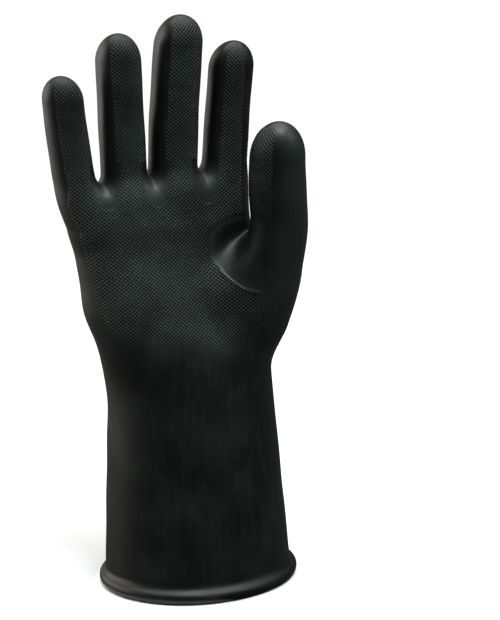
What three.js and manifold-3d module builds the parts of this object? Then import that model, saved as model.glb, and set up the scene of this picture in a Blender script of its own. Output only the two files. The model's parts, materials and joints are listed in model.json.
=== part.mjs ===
// A right-hand dipped rubber glove for heavy work, standing on its rolled cuff with the fingers up.
// Millimetres, +Z up. The palm faces -Y and the thumb is on the +X side. On the real glove the film
// is one seamless skin. Here it is parted at its flex lines, so that the wrist, the thumb and each
// finger can bend: stiff regions, with a narrow flex band between each two of them.
import * as THREE from "three";
import { LoftGeometry } from "three/addons/geometries/LoftGeometry.js";
import { mergeVertices } from "three/addons/utils/BufferGeometryUtils.js";
import Module from "manifold-3d";

const wasm = await Module();
wasm.setup();

// The film and the lines where it is parted
const WALL = 0.9; // film thickness
const GAP = 0.3; // clearance between a stiff region and a flex band
const FLEX = 1.6; // half height of a parting at its hinge, the gap included
const SPARE = 1; // degrees of clearance beyond each limit of a bend

// Fineness of the faceted skin
const BODY_SIDES = 24;
const DIGIT_SIDES = 12;
const BEAD_SIDES = 32;
const BEAD_FACETS = 8;
const BODY_STEP = 20;
const DIGIT_STEP = 16;
const DOME_SHARES = [0.55, 0.85, 0.98]; // heights of a tip's rings, as shares of its dome

// Sleeve and palm, as oval stations: [height, centre x, centre y, half width, half depth, squareness]
const BODY = [
  [0, 1.2, 0, 56.8, 47, 2],
  [45, 0.2, 0, 54.2, 43, 2],
  [85, -1, 0, 51.8, 38.5, 2],
  [118, -2.2, 0, 50.2, 34.5, 2.05],
  [145, -5.7, 0, 51.7, 31, 2.1],
  [165, -9.5, 0, 54, 27, 2.2],
  [185, -13.1, 0, 54.1, 23.5, 2.3],
  [205, -17, 0, 55, 20, 2.4],
  [225, -21.3, 0, 57, 17, 2.5],
  [234, -22.7, 0, 57.4, 14.5, 2.5],
  [241, -22.8, 0, 54, 8, 2.3],
];

// Rolled bead round the cuff, an oval section with a flat foot
const BEAD = { height: 8, proud: 3.7, foot: 0.8 };

// Ball of the thumb and the thumb, as oval stations: [height, centre x, centre y, half width, half depth]
const THUMB = [
  [124, 14, -1, 24, 20],
  [142, 26.5, -7, 24.5, 20],
  [160, 32.5, -14, 23.5, 19.5],
  [178, 36.7, -20, 21, 18.5],
  [196, 40, -26, 18.5, 17],
  [215, 41.8, -31.5, 16.6, 15.6],
  [232, 39.3, -36, 16.1, 15],
  [253, 37, -41, 15.2, 14.2],
];
const THUMB_TIP = new THREE.Vector3(36.2, -44.5, 272.7);

// Fingers: foot inside the palm, tip, half widths at both, heights of the bends, and curl in degrees
const FINGERS = {
  little: {
    foot: [-66, 1, 226], tip: [-77.2, -10, 299.7], widths: [12.5, 11.6],
    bends: [247, 265, 282.5], curl: 50,
  },
  ring: {
    foot: [-38, 1, 226], tip: [-43.9, -10, 321.8], widths: [13.5, 12.7],
    bends: [248, 272, 298], curl: 60,
  },
  middle: {
    foot: [-10.6, 1, 226], tip: [-7.8, -10, 331], widths: [14.4, 13.8],
    bends: [248, 275, 304], curl: 60,
  },
  index: {
    foot: [20.6, 1, 226], tip: [24, -10, 316.1], widths: [13.4, 12.6],
    bends: [248, 270, 294], curl: 48,
  },
};
const FINGER_DEPTH = 0.96; // depth of a finger over its width
const DOME_LENGTH = 1.25; // length of a tip's dome over its half width

// Ranges of the other bends, in degrees, and the heights of their hinges
const KNUCKLE = { back: 10, forward: 28 };
const END_RATIO = 0.65; // what the end bend turns for each degree of the middle bend
const THUMB_SPREAD = { back: 8, forward: 28, height: 223 };
const THUMB_CURL = { back: 0, forward: 30, height: 247 };
const WRIST = { back: 15, forward: 25, height: 121 };

const FORWARD = new THREE.Vector3(0, -1, 0); // the way the palm faces
const OUTWARD = new THREE.Vector3(1, 0, 0); // the way the thumb spreads
const UP = new THREE.Vector3(0, 0, 1);
const ABOVE_ALL = 150; // beyond the far end of any region, measured from its hinge

const rubber = new THREE.MeshStandardMaterial({ color: 0x171c1a, roughness: 0.48, metalness: 0 });

// --- Conversions between three.js geometry and solids ---

function solidOf(geometry) {
  const bare = new THREE.BufferGeometry();
  bare.setAttribute("position", geometry.attributes.position);
  bare.setIndex(geometry.index);
  const { index, attributes } = mergeVertices(bare, 1e-4);
  return new wasm.Manifold(
    new wasm.Mesh({
      numProp: 3,
      vertProperties: attributes.position.array,
      triVerts: new Uint32Array(index.array),
    }),
  );
}

function meshOf(name, solid) {
  const { vertProperties, triVerts } = solid.getMesh();
  const geometry = new THREE.BufferGeometry();
  geometry.setAttribute("position", new THREE.BufferAttribute(vertProperties, 3));
  geometry.setIndex(new THREE.BufferAttribute(triVerts, 1));
  geometry.computeVertexNormals();
  const mesh = new THREE.Mesh(geometry, rubber);
  mesh.name = name;
  return mesh;
}

// A cut can free a sliver of a neighbouring region, so only the largest body of it is kept.
function largest(solid) {
  return solid.decompose().reduce((a, b) => (b.volume() > a.volume() ? b : a));
}

// --- Skins: closed lofts through oval rings ---

// A ring of points on a superellipse. A squareness of 2 is an ellipse, and more is boxier.
function oval(centre, halfWidth, halfDepth, sides, squareness = 2) {
  const rounded = (x) => Math.sign(x) * Math.abs(x) ** (2 / squareness);
  return Array.from({ length: sides }, (_, i) => {
    const turn = (2 * Math.PI * i) / sides;
    const x = halfWidth * rounded(Math.cos(turn));
    const y = halfDepth * rounded(Math.sin(turn));
    return new THREE.Vector3(centre.x + x, centre.y + y, centre.z);
  });
}

function loft(rings) {
  return solidOf(new LoftGeometry(rings, { capStart: true, capEnd: true }));
}

// Smooth sections through stations, drawn in by an inset: {centre, halfWidth, halfDepth, squareness}.
function sectionsThrough(stations, step, inset) {
  const spline = (pick) =>
    new THREE.CatmullRomCurve3(stations.map((s) => new THREE.Vector3(...pick(s))), false, "catmullrom");
  const centres = spline(([z, x, y]) => [x, y, z]);
  const ovals = spline(([, , , a, b, squareness = 2]) => [a, b, squareness]);
  const count = Math.round((stations.at(-1)[0] - stations[0][0]) / step);
  return Array.from({ length: count + 1 }, (_, i) => {
    const o = ovals.getPoint(i / count);
    return {
      centre: centres.getPoint(i / count),
      halfWidth: o.x - inset,
      halfDepth: o.y - inset,
      squareness: o.z,
    };
  });
}

// The rings of a tip: the last section of its tube shrinks as a quarter ellipse towards the tip.
function dome(base, tip, inset) {
  const top = tip.clone().setZ(tip.z - inset);
  return DOME_SHARES.map((share) => {
    const size = Math.sqrt(1 - share ** 2);
    return {
      centre: base.centre.clone().lerp(top, share / DOME_SHARES.at(-1)),
      halfWidth: base.halfWidth * size,
      halfDepth: base.halfDepth * size,
    };
  });
}

function skinThrough(sections, sides) {
  const ring = (s) => oval(s.centre, s.halfWidth, s.halfDepth, sides, s.squareness);
  return loft(sections.map(ring));
}

function bodySkin(inset) {
  const sections = sectionsThrough(BODY, BODY_STEP, inset);
  sections.at(-1).centre.z -= inset;
  return skinThrough(sections, BODY_SIDES);
}

function thumbSkin(inset) {
  const sections = sectionsThrough(THUMB, DIGIT_STEP, inset);
  return skinThrough([...sections, ...dome(sections.at(-1), THUMB_TIP, inset)], DIGIT_SIDES);
}

// The centre line of a finger: straight as seen from the front, and bowed forward in a parabola.
function fingerCentre(finger, z) {
  const [[x0, y0, z0], [x1, y1, z1]] = [finger.foot, finger.tip];
  const t = (z - z0) / (z1 - z0);
  return new THREE.Vector3(x0 + (x1 - x0) * t, y0 + (y1 - y0) * t ** 2, z);
}

function fingerSkin(finger, inset) {
  const [foot, shoulder] = [finger.foot[2], finger.tip[2] - DOME_LENGTH * finger.widths[1]];
  const count = Math.round((shoulder - foot) / DIGIT_STEP);
  const sections = Array.from({ length: count + 1 }, (_, i) => {
    const half = THREE.MathUtils.lerp(...finger.widths, i / count);
    return {
      centre: fingerCentre(finger, THREE.MathUtils.lerp(foot, shoulder, i / count)),
      halfWidth: half - inset,
      halfDepth: half * FINGER_DEPTH - inset,
    };
  });
  const tip = new THREE.Vector3(...finger.tip);
  return skinThrough([...sections, ...dome(sections.at(-1), tip, inset)], DIGIT_SIDES);
}

// The film is what lies between the whole outer skin and the same skin drawn in by the wall.
function film() {
  const [outer, hollow] = [0, WALL].map((inset) =>
    Object.values(FINGERS).reduce(
      (skin, finger) => skin.add(fingerSkin(finger, inset)),
      bodySkin(inset).add(thumbSkin(inset)),
    ),
  );
  return outer.subtract(hollow);
}

// --- Bends: where the film is parted, and how far each parting opens ---

// A hinge at a point of the centre line. The film runs along it, and a positive turn closes it towards
// one side. The width and reach are those of the blocks that part the film there.
function bend(point, along, towards, { forward, back }, width, reach) {
  const run = along.clone().normalize();
  const side = towards.clone().addScaledVector(run, -towards.dot(run)).normalize();
  return { point, run, side, forward, back, width, reach };
}

// The edge of a parting: a bent line across the hinge, which slants away from it on both sides by half
// of what the bend turns there, so that two stiff regions never meet. Its points are [across, along].
function edge({ forward, back, reach }, direction, offset) {
  const rise = (degrees) => direction * (offset + reach * Math.tan(THREE.MathUtils.degToRad(degrees)));
  return [
    [-reach, rise(back / 2 + SPARE)],
    [0, direction * offset],
    [reach, rise(forward / 2 + SPARE)],
  ];
}

function flatEdge({ reach }, height) {
  return [[-reach, height], [reach, height]];
}

// Move an edge from the frame of one bend into the frame of another, whose side may be the opposite one.
function carried(points, from, to) {
  const moved = points.map(([across, along]) => {
    const place = from.point.clone().addScaledVector(from.side, across).addScaledVector(from.run, along);
    const offset = place.sub(to.point);
    return [offset.dot(to.side), offset.dot(to.run)];
  });
  return moved.sort((a, b) => a[0] - b[0]);
}

// A block between two edges given in a bend's frame, as wide as the bend says.
function block({ point, run, side, width }, lower, upper) {
  const outline = [...lower, ...upper.toReversed()].map((place) => new THREE.Vector2(...place));
  const geometry = new THREE.ExtrudeGeometry(new THREE.Shape(outline), {
    depth: 2 * width,
    bevelEnabled: false,
  });
  geometry.translate(0, 0, -width);
  const frame = new THREE.Matrix4().makeBasis(side, run, side.clone().cross(run)).setPosition(point);
  return solidOf(geometry.applyMatrix4(frame));
}

const bandBlock = (b) => block(b, edge(b, -1, FLEX - GAP), edge(b, 1, FLEX - GAP));

// The block of the stiff region that a bend carries, up to the next bend or to the end.
function regionBlock(b, next) {
  const upper = next ? carried(edge(next, -1, FLEX), next, b) : flatEdge(b, ABOVE_ALL);
  return block(b, edge(b, 1, FLEX), upper);
}

const everythingFrom = (b) => block(b, edge(b, -1, FLEX), flatEdge(b, ABOVE_ALL));

function fingerBends(finger) {
  const along = new THREE.Vector3(...finger.tip).sub(fingerCentre(finger, finger.bends[0]));
  const ranges = [
    KNUCKLE,
    { back: 0, forward: finger.curl },
    { back: 0, forward: finger.curl * END_RATIO },
  ];
  return ranges.map((range, i) => {
    const point = fingerCentre(finger, finger.bends[i]);
    return bend(point, along, FORWARD, range, finger.widths[0] + 1, finger.widths[0] + 2);
  });
}

function thumbCentre(height) {
  const above = THUMB.findIndex(([z]) => z > height);
  const [[z0, ...from], [z1, ...to]] = [THUMB[above - 1], THUMB[above]];
  const t = (height - z0) / (z1 - z0);
  return new THREE.Vector3(...[0, 1].map((i) => THREE.MathUtils.lerp(from[i], to[i], t)), height);
}

function thumbBends() {
  const root = thumbCentre(THUMB_SPREAD.height);
  const along = THUMB_TIP.clone().sub(root);
  const [width, reach] = [THUMB[6][3] + 0.6, THUMB[6][3] + 3];
  return [
    bend(root, along, OUTWARD, THUMB_SPREAD, width, reach),
    bend(thumbCentre(THUMB_CURL.height), along, OUTWARD.clone().negate(), THUMB_CURL, width, reach),
  ];
}

function wristBend() {
  const [, x, y] = BODY[3];
  return bend(new THREE.Vector3(x, y, WRIST.height), UP, FORWARD, WRIST, 75, 75);
}

// --- The glove's regions ---

// A digit's bands and stiff regions, in order from its root to its tip.
function digitMeshes(skin, digit, bends, names) {
  return bends.flatMap((b, i) => {
    const [band, region] = names[i];
    return [
      meshOf(`${digit}_${band}`, largest(skin.intersect(bandBlock(b)))),
      meshOf(`${digit}_${region}`, largest(skin.intersect(regionBlock(b, bends[i + 1])))),
    ];
  });
}

// The bead: its section is carried once round the oval of the cuff and closes on itself.
function cuffBead() {
  const [, x, y, halfWidth, halfDepth] = BODY[0];
  const [out, up] = [(BEAD.proud + WALL) / 2, BEAD.height / 2 + BEAD.foot];
  const rings = Array.from({ length: BEAD_SIDES + 1 }, (_, i) => {
    const around = (2 * Math.PI * (i % BEAD_SIDES)) / BEAD_SIDES;
    return Array.from({ length: BEAD_FACETS }, (_, j) => {
      const turn = (-2 * Math.PI * (j + 0.5)) / BEAD_FACETS;
      const spread = BEAD.proud - out + out * Math.cos(turn);
      const height = Math.max(up * Math.sin(turn) + BEAD.height - up, 0);
      return new THREE.Vector3(
        x + (halfWidth + spread) * Math.cos(around),
        y + (halfDepth + spread) * Math.sin(around),
        height,
      );
    });
  });
  return solidOf(new LoftGeometry(rings));
}

function buildGlove() {
  const skin = film();
  const wrist = wristBend();
  const thumb = thumbBends();
  const fingers = Object.entries(FINGERS).map(([name, finger]) => [name, fingerBends(finger)]);

  const cuffTop = BEAD.height + GAP - WRIST.height;
  const sleeve = skin.intersect(block(wrist, flatEdge(wrist, cuffTop), edge(wrist, -1, FLEX)));
  const digitRoots = [thumb, ...fingers.map(([, bends]) => bends)].map(([root]) => everythingFrom(root));
  const hand = digitRoots.reduce(
    (rest, root) => rest.subtract(root),
    skin.intersect(block(wrist, edge(wrist, 1, FLEX), flatEdge(wrist, ABOVE_ALL))),
  );

  const glove = new THREE.Group();
  glove.add(
    meshOf("cuff_bead", cuffBead()),
    meshOf("gauntlet_sleeve", largest(sleeve)),
    meshOf("wrist_band", largest(skin.intersect(bandBlock(wrist)))),
    meshOf("hand_shell", largest(hand)),
    ...digitMeshes(skin, "thumb", thumb, [["root_band", "base"], ["end_band", "tip"]]),
    ...fingers.flatMap(([name, bends]) =>
      digitMeshes(skin, `${name}_finger`, bends, [
        ["knuckle_band", "base"],
        ["middle_band", "middle"],
        ["end_band", "tip"],
      ]),
    ),
  );

  // The origin is the middle of the box that the glove fills, at the face that it stands on.
  const middle = new THREE.Box3().setFromObject(glove).getCenter(new THREE.Vector3());
  glove.position.set(-middle.x, -middle.y, 0);
  return glove;
}

export default buildGlove();
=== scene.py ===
import json
import math
from functools import cache
from itertools import combinations, product

import bpy
import numpy as np
from mathutils import Matrix, Vector


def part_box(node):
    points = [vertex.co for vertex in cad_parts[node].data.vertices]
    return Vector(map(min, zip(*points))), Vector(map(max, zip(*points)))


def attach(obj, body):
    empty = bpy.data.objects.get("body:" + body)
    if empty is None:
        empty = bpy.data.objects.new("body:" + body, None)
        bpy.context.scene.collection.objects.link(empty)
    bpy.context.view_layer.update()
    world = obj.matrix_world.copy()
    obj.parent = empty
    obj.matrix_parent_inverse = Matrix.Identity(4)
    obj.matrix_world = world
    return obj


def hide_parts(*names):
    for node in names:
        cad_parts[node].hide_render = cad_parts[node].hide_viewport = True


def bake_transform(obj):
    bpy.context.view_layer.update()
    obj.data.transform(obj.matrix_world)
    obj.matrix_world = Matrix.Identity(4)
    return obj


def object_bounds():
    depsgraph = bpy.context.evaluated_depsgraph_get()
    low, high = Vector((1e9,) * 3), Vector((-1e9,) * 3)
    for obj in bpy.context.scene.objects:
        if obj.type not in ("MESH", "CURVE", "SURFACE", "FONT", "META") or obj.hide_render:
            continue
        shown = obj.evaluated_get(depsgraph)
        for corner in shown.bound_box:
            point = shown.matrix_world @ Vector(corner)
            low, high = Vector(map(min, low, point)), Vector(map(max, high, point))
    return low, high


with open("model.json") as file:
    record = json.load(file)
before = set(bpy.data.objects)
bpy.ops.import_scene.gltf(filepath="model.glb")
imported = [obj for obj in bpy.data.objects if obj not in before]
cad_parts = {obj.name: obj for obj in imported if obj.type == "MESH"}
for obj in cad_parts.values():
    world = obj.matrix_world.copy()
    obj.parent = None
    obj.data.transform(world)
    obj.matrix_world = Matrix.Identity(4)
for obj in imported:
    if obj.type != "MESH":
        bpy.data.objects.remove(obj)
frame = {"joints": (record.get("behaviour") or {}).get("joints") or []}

bl_info = {
    "name": "Dipped Rubber Glove",
    "version": (1, 0, 0),
    "blender": (4, 5, 0),
    "location": "View3D > Sidebar > Glove",
    "description": "Builds a heavy dipped-rubber glove with a rolled cuff and a raised diamond grip",
    "category": "Add Mesh",
}

# The whole file works in millimetres about the middle of the cuff, and writes meshes in metres.
MM = 0.001
CAD_LOW, CAD_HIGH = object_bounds()
BEAD_LOW, BEAD_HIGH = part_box("cuff_bead")
CUFF_MIDDLE = np.array([(BEAD_LOW.x + BEAD_HIGH.x) / 2, (BEAD_LOW.y + BEAD_HIGH.y) / 2, 0]) / MM
JOINTS = {joint["name"]: joint for joint in frame["joints"]}
FINGERS = ("little", "ring", "middle", "index")

# Sleeve and palm as ovals: height, centre x, half width, half depth, squareness (2 is an ellipse)
BODY = (
    (0, 0.0, 56.8, 47.0, 2.0),
    (45, -1.0, 54.2, 43.0, 2.0),
    (85, -2.2, 51.8, 38.5, 2.0),
    (118, -3.4, 50.2, 34.5, 2.0),
    (145, -6.4, 52.2, 31.0, 2.1),
    (165, -11.2, 54.5, 27.0, 2.2),
    (185, -14.4, 53.8, 23.5, 2.3),
    (205, -18.2, 53.0, 19.6, 2.4),
    (225, -22.6, 53.4, 15.5, 2.3),
    (242, -23.6, 53.2, 12.6, 2.2),
)
WEB_TOP = 238.5  # height of the skin between the ring and middle fingers
WEB_SLOPE = 0.07  # how much higher the webs get towards the thumb, over x
WEB_LEVEL = -22.0  # x where the webs are at WEB_TOP
WEB_ROUNDING = 10.0  # reach of the rounding between the palm's sides and the webs

# Ball of the thumb and the thumb as ovals: height, centre x, centre y, half width, half depth
THUMB = (
    (118, 10.0, 0.0, 24.0, 20.0),
    (142, 25.3, -7.0, 24.5, 20.0),
    (160, 31.3, -14.0, 23.5, 19.5),
    (178, 35.5, -20.0, 21.0, 18.5),
    (196, 38.8, -26.0, 18.5, 17.0),
    (215, 40.6, -31.5, 16.6, 15.6),
    (232, 38.1, -36.0, 16.3, 15.2),
    (253, 35.8, -41.0, 15.6, 14.6),
    (272.7, 35.0, -44.5, 15.2, 14.2),
)
THUMB_SHOULDER = 253.0  # height where the thumb's rounded end begins
THUMB_RADIUS = 16.6  # at its root

# Fingers: half width at the foot and at the tip
FINGER_WIDTHS = {
    "little": (12.0, 11.2),
    "ring": (13.0, 12.3),
    "middle": (13.9, 13.3),
    "index": (12.9, 12.2),
}
FINGER_FOOT = 214.0  # height where the fingers' tubes begin, inside the palm
FINGER_SPLAY = {"little": 0.0066}  # x that the foot gains, over the square of its depth below the knuckle
FINGER_DEPTH = 0.98  # depth over width
FINGER_POWER = 2.5  # squareness of a finger's section, where 2 is an ellipse
TIP_LENGTH = 1.25  # length of a fingertip's rounded end over its half width

# Fillets between the parts of the skin, as the reach of a smooth union
FINGER_FILLET = 8.5
NEIGHBOUR_FILLET = (1.5, 6.0)  # above the webs, and how much more below them
THUMB_FILLET = (8.0, 20.0)  # away from the web of the thumb, and just below it
THUMB_WEB = (182.0, 20.0)  # height just below the web of the thumb, and the reach of its wider fillet

# Mounds (positive) and hollows of the hand: x, height, spread in x, spread in height, rise
PALM_RELIEF = (
    (-13, 190, 22, 26, -2.4),
    (-46, 163, 15, 27, 2.0),
)
BACK_RELIEF = ((-20, 190, 34, 26, 1.2),)
RELIEF_BOTTOM = 120.0  # height above which the mounds and hollows count
KNUCKLE_RISE = 1.1
KNUCKLE_DROP = 4.0  # how far the knuckles are below the webs
KNUCKLE_SPREAD = (0.7, 9.0)  # across, over the finger's half width, and along the finger

# Heights where the skin is split into pieces
SPLIT_WRIST = 98.0  # sleeve and wrist
SPLIT_HAND = 150.0  # wrist and hand
SPLIT_PALM = 190.0  # heel of the palm and palm
THUMB_ROOT = 209.0  # hand and thumb

# The smooth hollow between palm and thumb, edged by a fold: its centre, its half width, its reach down
# and up, and how steeply its edge falls away past the centre
THENAR = {"x": 25.8, "z": 204.0, "width": 22.0, "height": 27.0, "rise": 13.0, "fall": 1.1}


def length(name, description, millimetres):
    """A setting that is a length."""
    return bpy.props.FloatProperty(
        name=name, description=description, default=millimetres * MM, unit="LENGTH"
    )


def colour(name, description, default):
    """A setting that is a colour."""
    return bpy.props.FloatVectorProperty(
        name=name, description=description, subtype="COLOR", size=3, default=default
    )


class GloveSizes(bpy.types.PropertyGroup):
    """Sizes that a glove maker would change."""

    wall: length("Wall", "Thickness of the rubber film", 0.9)
    cell: length("Skin cell", "Size of the skin's quads where it is smooth", 0.8)
    pitch: length("Grip pitch", "Distance between the raised lines of the grip", 1.56)
    grip_height: length("Grip height", "How far the grip's lines stand out", 0.34)
    grip_angle: bpy.props.FloatProperty(
        name="Grip angle", description="Angle of the grip's lines from the horizontal",
        default=math.radians(41), subtype="ANGLE",
    )


class GloveColours(bpy.types.PropertyGroup):
    """Colours of the rubber and of the studio."""

    rubber: colour("Rubber", "Colour of the dipped rubber", (0.0024, 0.0034, 0.0030))
    # Bloom: the paler colour of the rubber's patches, streaks and specks. It is also used for the painted
    # sheen on the hand's smooth skin and the painted highlight on the grip's lines.
    bloom_and_sheen: colour("Bloom", "Colour where the rubber is dulled by handling", (0.044, 0.056, 0.050))
    floor: colour("Floor", "Colour of the studio floor", (0.92, 0.92, 0.92))


# --- Shape of the skin ---


def along(stations, height):
    """Values between the rows of a table: cubics whose slope at a row is that of its neighbours' chord."""
    table = np.asarray(stations, float)
    rows, values = table[:, 0], table[:, 1:]
    slopes = np.gradient(values, rows, axis=0)
    i = np.clip(np.searchsorted(rows, height) - 1, 0, len(rows) - 2)
    width = rows[i + 1] - rows[i]
    t = np.clip((height - rows[i]) / width, 0, 1)[..., None]
    step = width[..., None]
    rise = t * t * (3 - 2 * t)
    mixed = values[i] * (1 - rise) + values[i + 1] * rise
    mixed = mixed + slopes[i] * step * t * (1 - t) ** 2 - slopes[i + 1] * step * t * t * (1 - t)
    return np.moveaxis(mixed, -1, 0)


def smooth_min(a, b, reach):
    """The lesser of two fields, rounded where they differ by less than the reach."""
    h = np.maximum(reach - np.abs(a - b), 0) / reach
    return np.minimum(a, b) - h * h * reach / 4


def smooth_step(value, start, end):
    """0 before start, 1 after end, and a cubic between them."""
    t = np.clip((value - start) / (end - start), 0, 1)
    return t * t * (3 - 2 * t)


def place_of(point):
    """A point of the frame, in metres, in millimetres about the cuff's middle."""
    return np.array(point, float) / MM - CUFF_MIDDLE


@cache
def finger_line(finger):
    """Centre line of a finger: the curves x(z) and y(z) of second degree through its three hinges."""
    hinges = [place_of(JOINTS[f"{finger}_{bend}_bend"]["pos_m"]) for bend in ("knuckle", "middle", "end")]
    x, y, z = np.array(hinges).T
    return np.polyfit(z, x, 2), np.polyfit(z, y, 2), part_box(f"{finger}_finger_tip")[1].z / MM


def finger_centre(finger, z):
    """Centre of a finger at heights z."""
    curve_x, curve_y, _ = finger_line(finger)
    below = np.maximum(place_of(JOINTS[f"{finger}_knuckle_bend"]["pos_m"])[2] - z, 0)
    return np.polyval(curve_x, z) + FINGER_SPLAY.get(finger, 0) * below**2, np.polyval(curve_y, z)


def finger_field(finger, x, y, z):
    """Distance to a tapered tube round the finger's centre line, whose end is half an egg."""
    foot_width, tip_width = FINGER_WIDTHS[finger]
    top = finger_line(finger)[2]
    shoulder = top - TIP_LENGTH * tip_width
    cx, cy = finger_centre(finger, np.clip(z, FINGER_FOOT, top))
    share = np.clip((z - FINGER_FOOT) / (shoulder - FINGER_FOOT), 0, 1)
    width = foot_width + (tip_width - foot_width) * share
    rise = np.maximum(z - shoulder, 0) / TIP_LENGTH + np.minimum(z - FINGER_FOOT, 0)
    section = np.abs(x - cx) ** FINGER_POWER + (np.abs(y - cy) / FINGER_DEPTH) ** FINGER_POWER
    return np.sqrt(section ** (2 / FINGER_POWER) + rise**2) - width


def thumb_field(x, y, z):
    """Distance to a tube of ovals round the thumb's centre line, whose end is half an egg."""
    cx, cy, half_width, half_depth = along(THUMB, z)
    top, foot = THUMB[-1][0], THUMB[0][0]
    rise = np.maximum(z - THUMB_SHOULDER, 0) * half_width / (top - THUMB_SHOULDER) + np.minimum(z - foot, 0)
    return np.sqrt((x - cx) ** 2 + ((y - cy) * half_width / half_depth) ** 2 + rise**2) - half_width


def relief(x, y, z):
    """Sum of the bell-shaped mounds and hollows of the palm and of the back."""
    total = np.zeros(np.broadcast(x, y, z).shape)
    palm = smooth_step(-y, 0, 9)
    back = smooth_step(y, 0, 9)
    for table, side in ((PALM_RELIEF, palm), (BACK_RELIEF, back)):
        for mx, mz, spread_x, spread_z, rise in table:
            total += side * rise * np.exp(-(((x - mx) / spread_x) ** 2) - ((z - mz) / spread_z) ** 2)
    for finger in FINGERS:
        cx = finger_centre(finger, WEB_TOP)[0]
        across = (x - cx) / (FINGER_WIDTHS[finger][0] * KNUCKLE_SPREAD[0])
        up = (z - WEB_TOP + KNUCKLE_DROP) / KNUCKLE_SPREAD[1]
        total += back * KNUCKLE_RISE * np.exp(-(across**2) - up**2)
    return total


def body_field(x, y, z):
    """Distance to the sleeve and palm: an oval at each height, rounded over at the webs of the fingers."""
    cx, half_width, half_depth, power = along(BODY, z)
    u, v = np.abs(x - cx) / half_width, np.abs(y) / half_depth
    size = np.maximum((u**power + v**power) ** (1 / power), 1e-3)
    slope = np.hypot(u ** (power - 1) / half_width, v ** (power - 1) / half_depth) * size ** (1 - power)
    side = (size - 1) / np.maximum(slope, 1e-4)
    side = np.where(z > RELIEF_BOTTOM, side - relief(x, y, z), side)
    return -smooth_min(-side, WEB_TOP + WEB_SLOPE * (x - WEB_LEVEL) - z, WEB_ROUNDING)


def unevenness(x, y, z):
    """Slow waves that a dipped film has, as a product of sines with no common period."""
    return 0.16 * np.sin(0.083 * x + 0.6) * np.sin(0.071 * z + 1.1) + 0.10 * np.sin(0.13 * y - 0.17 * z)


def glove_field(x, y, z):
    """Distance to the glove's outer skin, negative inside."""
    reach = THUMB_FILLET[0] + THUMB_FILLET[1] * np.exp(-(((z - THUMB_WEB[0]) / THUMB_WEB[1]) ** 2))
    body = smooth_min(body_field(x, y, z), thumb_field(x, y, z), reach)
    digits = finger_field(FINGERS[0], x, y, z)
    reach = NEIGHBOUR_FILLET[0] + NEIGHBOUR_FILLET[1] * (1 - smooth_step(z, WEB_TOP - 12, WEB_TOP + 2))
    for finger in FINGERS[1:]:
        digits = smooth_min(digits, finger_field(finger, x, y, z), reach)
    return smooth_min(body, digits, FINGER_FILLET) + unevenness(x, y, z)


def sleeve_field(x, y, z):
    """Distance to the outer skin below the thumb and the fingers."""
    return body_field(x, y, z) + unevenness(x, y, z)


# --- From the field to quads ---


SLABS = 24  # of the grid, which are worked out one at a time to spare memory


def sampled(field, axes):
    """The field at every node of a grid, worked out a slab of heights at a time."""
    layers = [
        field(*np.meshgrid(axes[0], axes[1], heights, indexing="ij")).astype(np.float32)
        for heights in np.array_split(axes[2], SLABS)
    ]
    return np.concatenate(layers, axis=2)


CORNERS = np.array(list(product((0, 1), repeat=3)))
CELL_EDGES = [(a, b) for a, b in combinations(range(8), 2) if np.abs(CORNERS[a] - CORNERS[b]).sum() == 1]


def surface_net(field, low, high, cell):
    """Quads of the surface where the field is 0.

    Each grid cell that the surface crosses gets one vertex, at the mean of the crossings on its edges.
    Each grid edge that the surface crosses gets one quad, through the four cells round it.
    Returns the vertices, the quads facing out, and which vertices are in the lowest layer of cells.
    """
    axes = [np.arange(a, b + cell, cell) for a, b in zip(low, high)]
    value = sampled(field, axes)
    inside = value < 0
    window = [slice(None, -1), slice(1, None)]
    count = sum(inside[window[i], window[j], window[k]].astype(np.int8) for i, j, k in CORNERS)
    cells = np.argwhere((count > 0) & (count < 8))
    number = np.full(count.shape, -1, np.int32)
    number[tuple(cells.T)] = np.arange(len(cells))

    at_corner = np.stack([value[tuple((cells + corner).T)] for corner in CORNERS], axis=1)
    total, crossings = np.zeros((len(cells), 3)), np.zeros(len(cells))
    for a, b in CELL_EDGES:
        va, vb = at_corner[:, a], at_corner[:, b]
        crossed = (va < 0) != (vb < 0)
        share = np.where(crossed, va / np.where(crossed, va - vb, 1), 0)
        total += crossed[:, None] * (CORNERS[a] + share[:, None] * (CORNERS[b] - CORNERS[a]))
        crossings += crossed
    points = np.array(low) + cell * (cells + total / crossings[:, None])

    quads = []
    for axis in range(3):
        u, v = np.eye(3, dtype=int)[(axis + 1) % 3], np.eye(3, dtype=int)[(axis + 2) % 3]
        here = np.moveaxis(inside, axis, 0)
        crossed = np.moveaxis(here[:-1] != here[1:], 0, axis)
        nodes = np.argwhere(crossed)
        reach = np.array(count.shape)
        nodes = nodes[np.all((nodes - u - v >= 0) & (nodes < reach), axis=1)]
        ring = np.stack([number[tuple((nodes - s).T)] for s in (u + v, v, 0 * u, u)], axis=1)
        outwards = inside[tuple(nodes.T)]
        quads.append(np.where(outwards[:, None], ring, ring[:, ::-1]))
    return points, np.concatenate(quads), cells[:, 2] == 0


def slope_of(field, points, step=0.04):
    """Value and gradient of a field at points, by central differences."""
    gradient = np.empty_like(points)
    for axis in range(3):
        shift = np.zeros(3)
        shift[axis] = step
        gradient[:, axis] = field(*(points + shift).T) - field(*(points - shift).T)
    return field(*points.T), gradient / (2 * step)


def settled(field, points, level=None, steps=3):
    """Points moved along the field's gradient until it is 0. Those marked level keep their height."""
    points = points.copy()
    for _ in range(steps):
        value, gradient = slope_of(field, points)
        if level is not None:
            gradient[level, 2] = 0
        points -= gradient * (value / np.maximum((gradient**2).sum(1), 1e-6))[:, None]
    return points


def unit(vectors):
    """Vectors scaled to length 1."""
    return vectors / np.maximum(np.linalg.norm(vectors, axis=1, keepdims=True), 1e-12)


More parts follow.
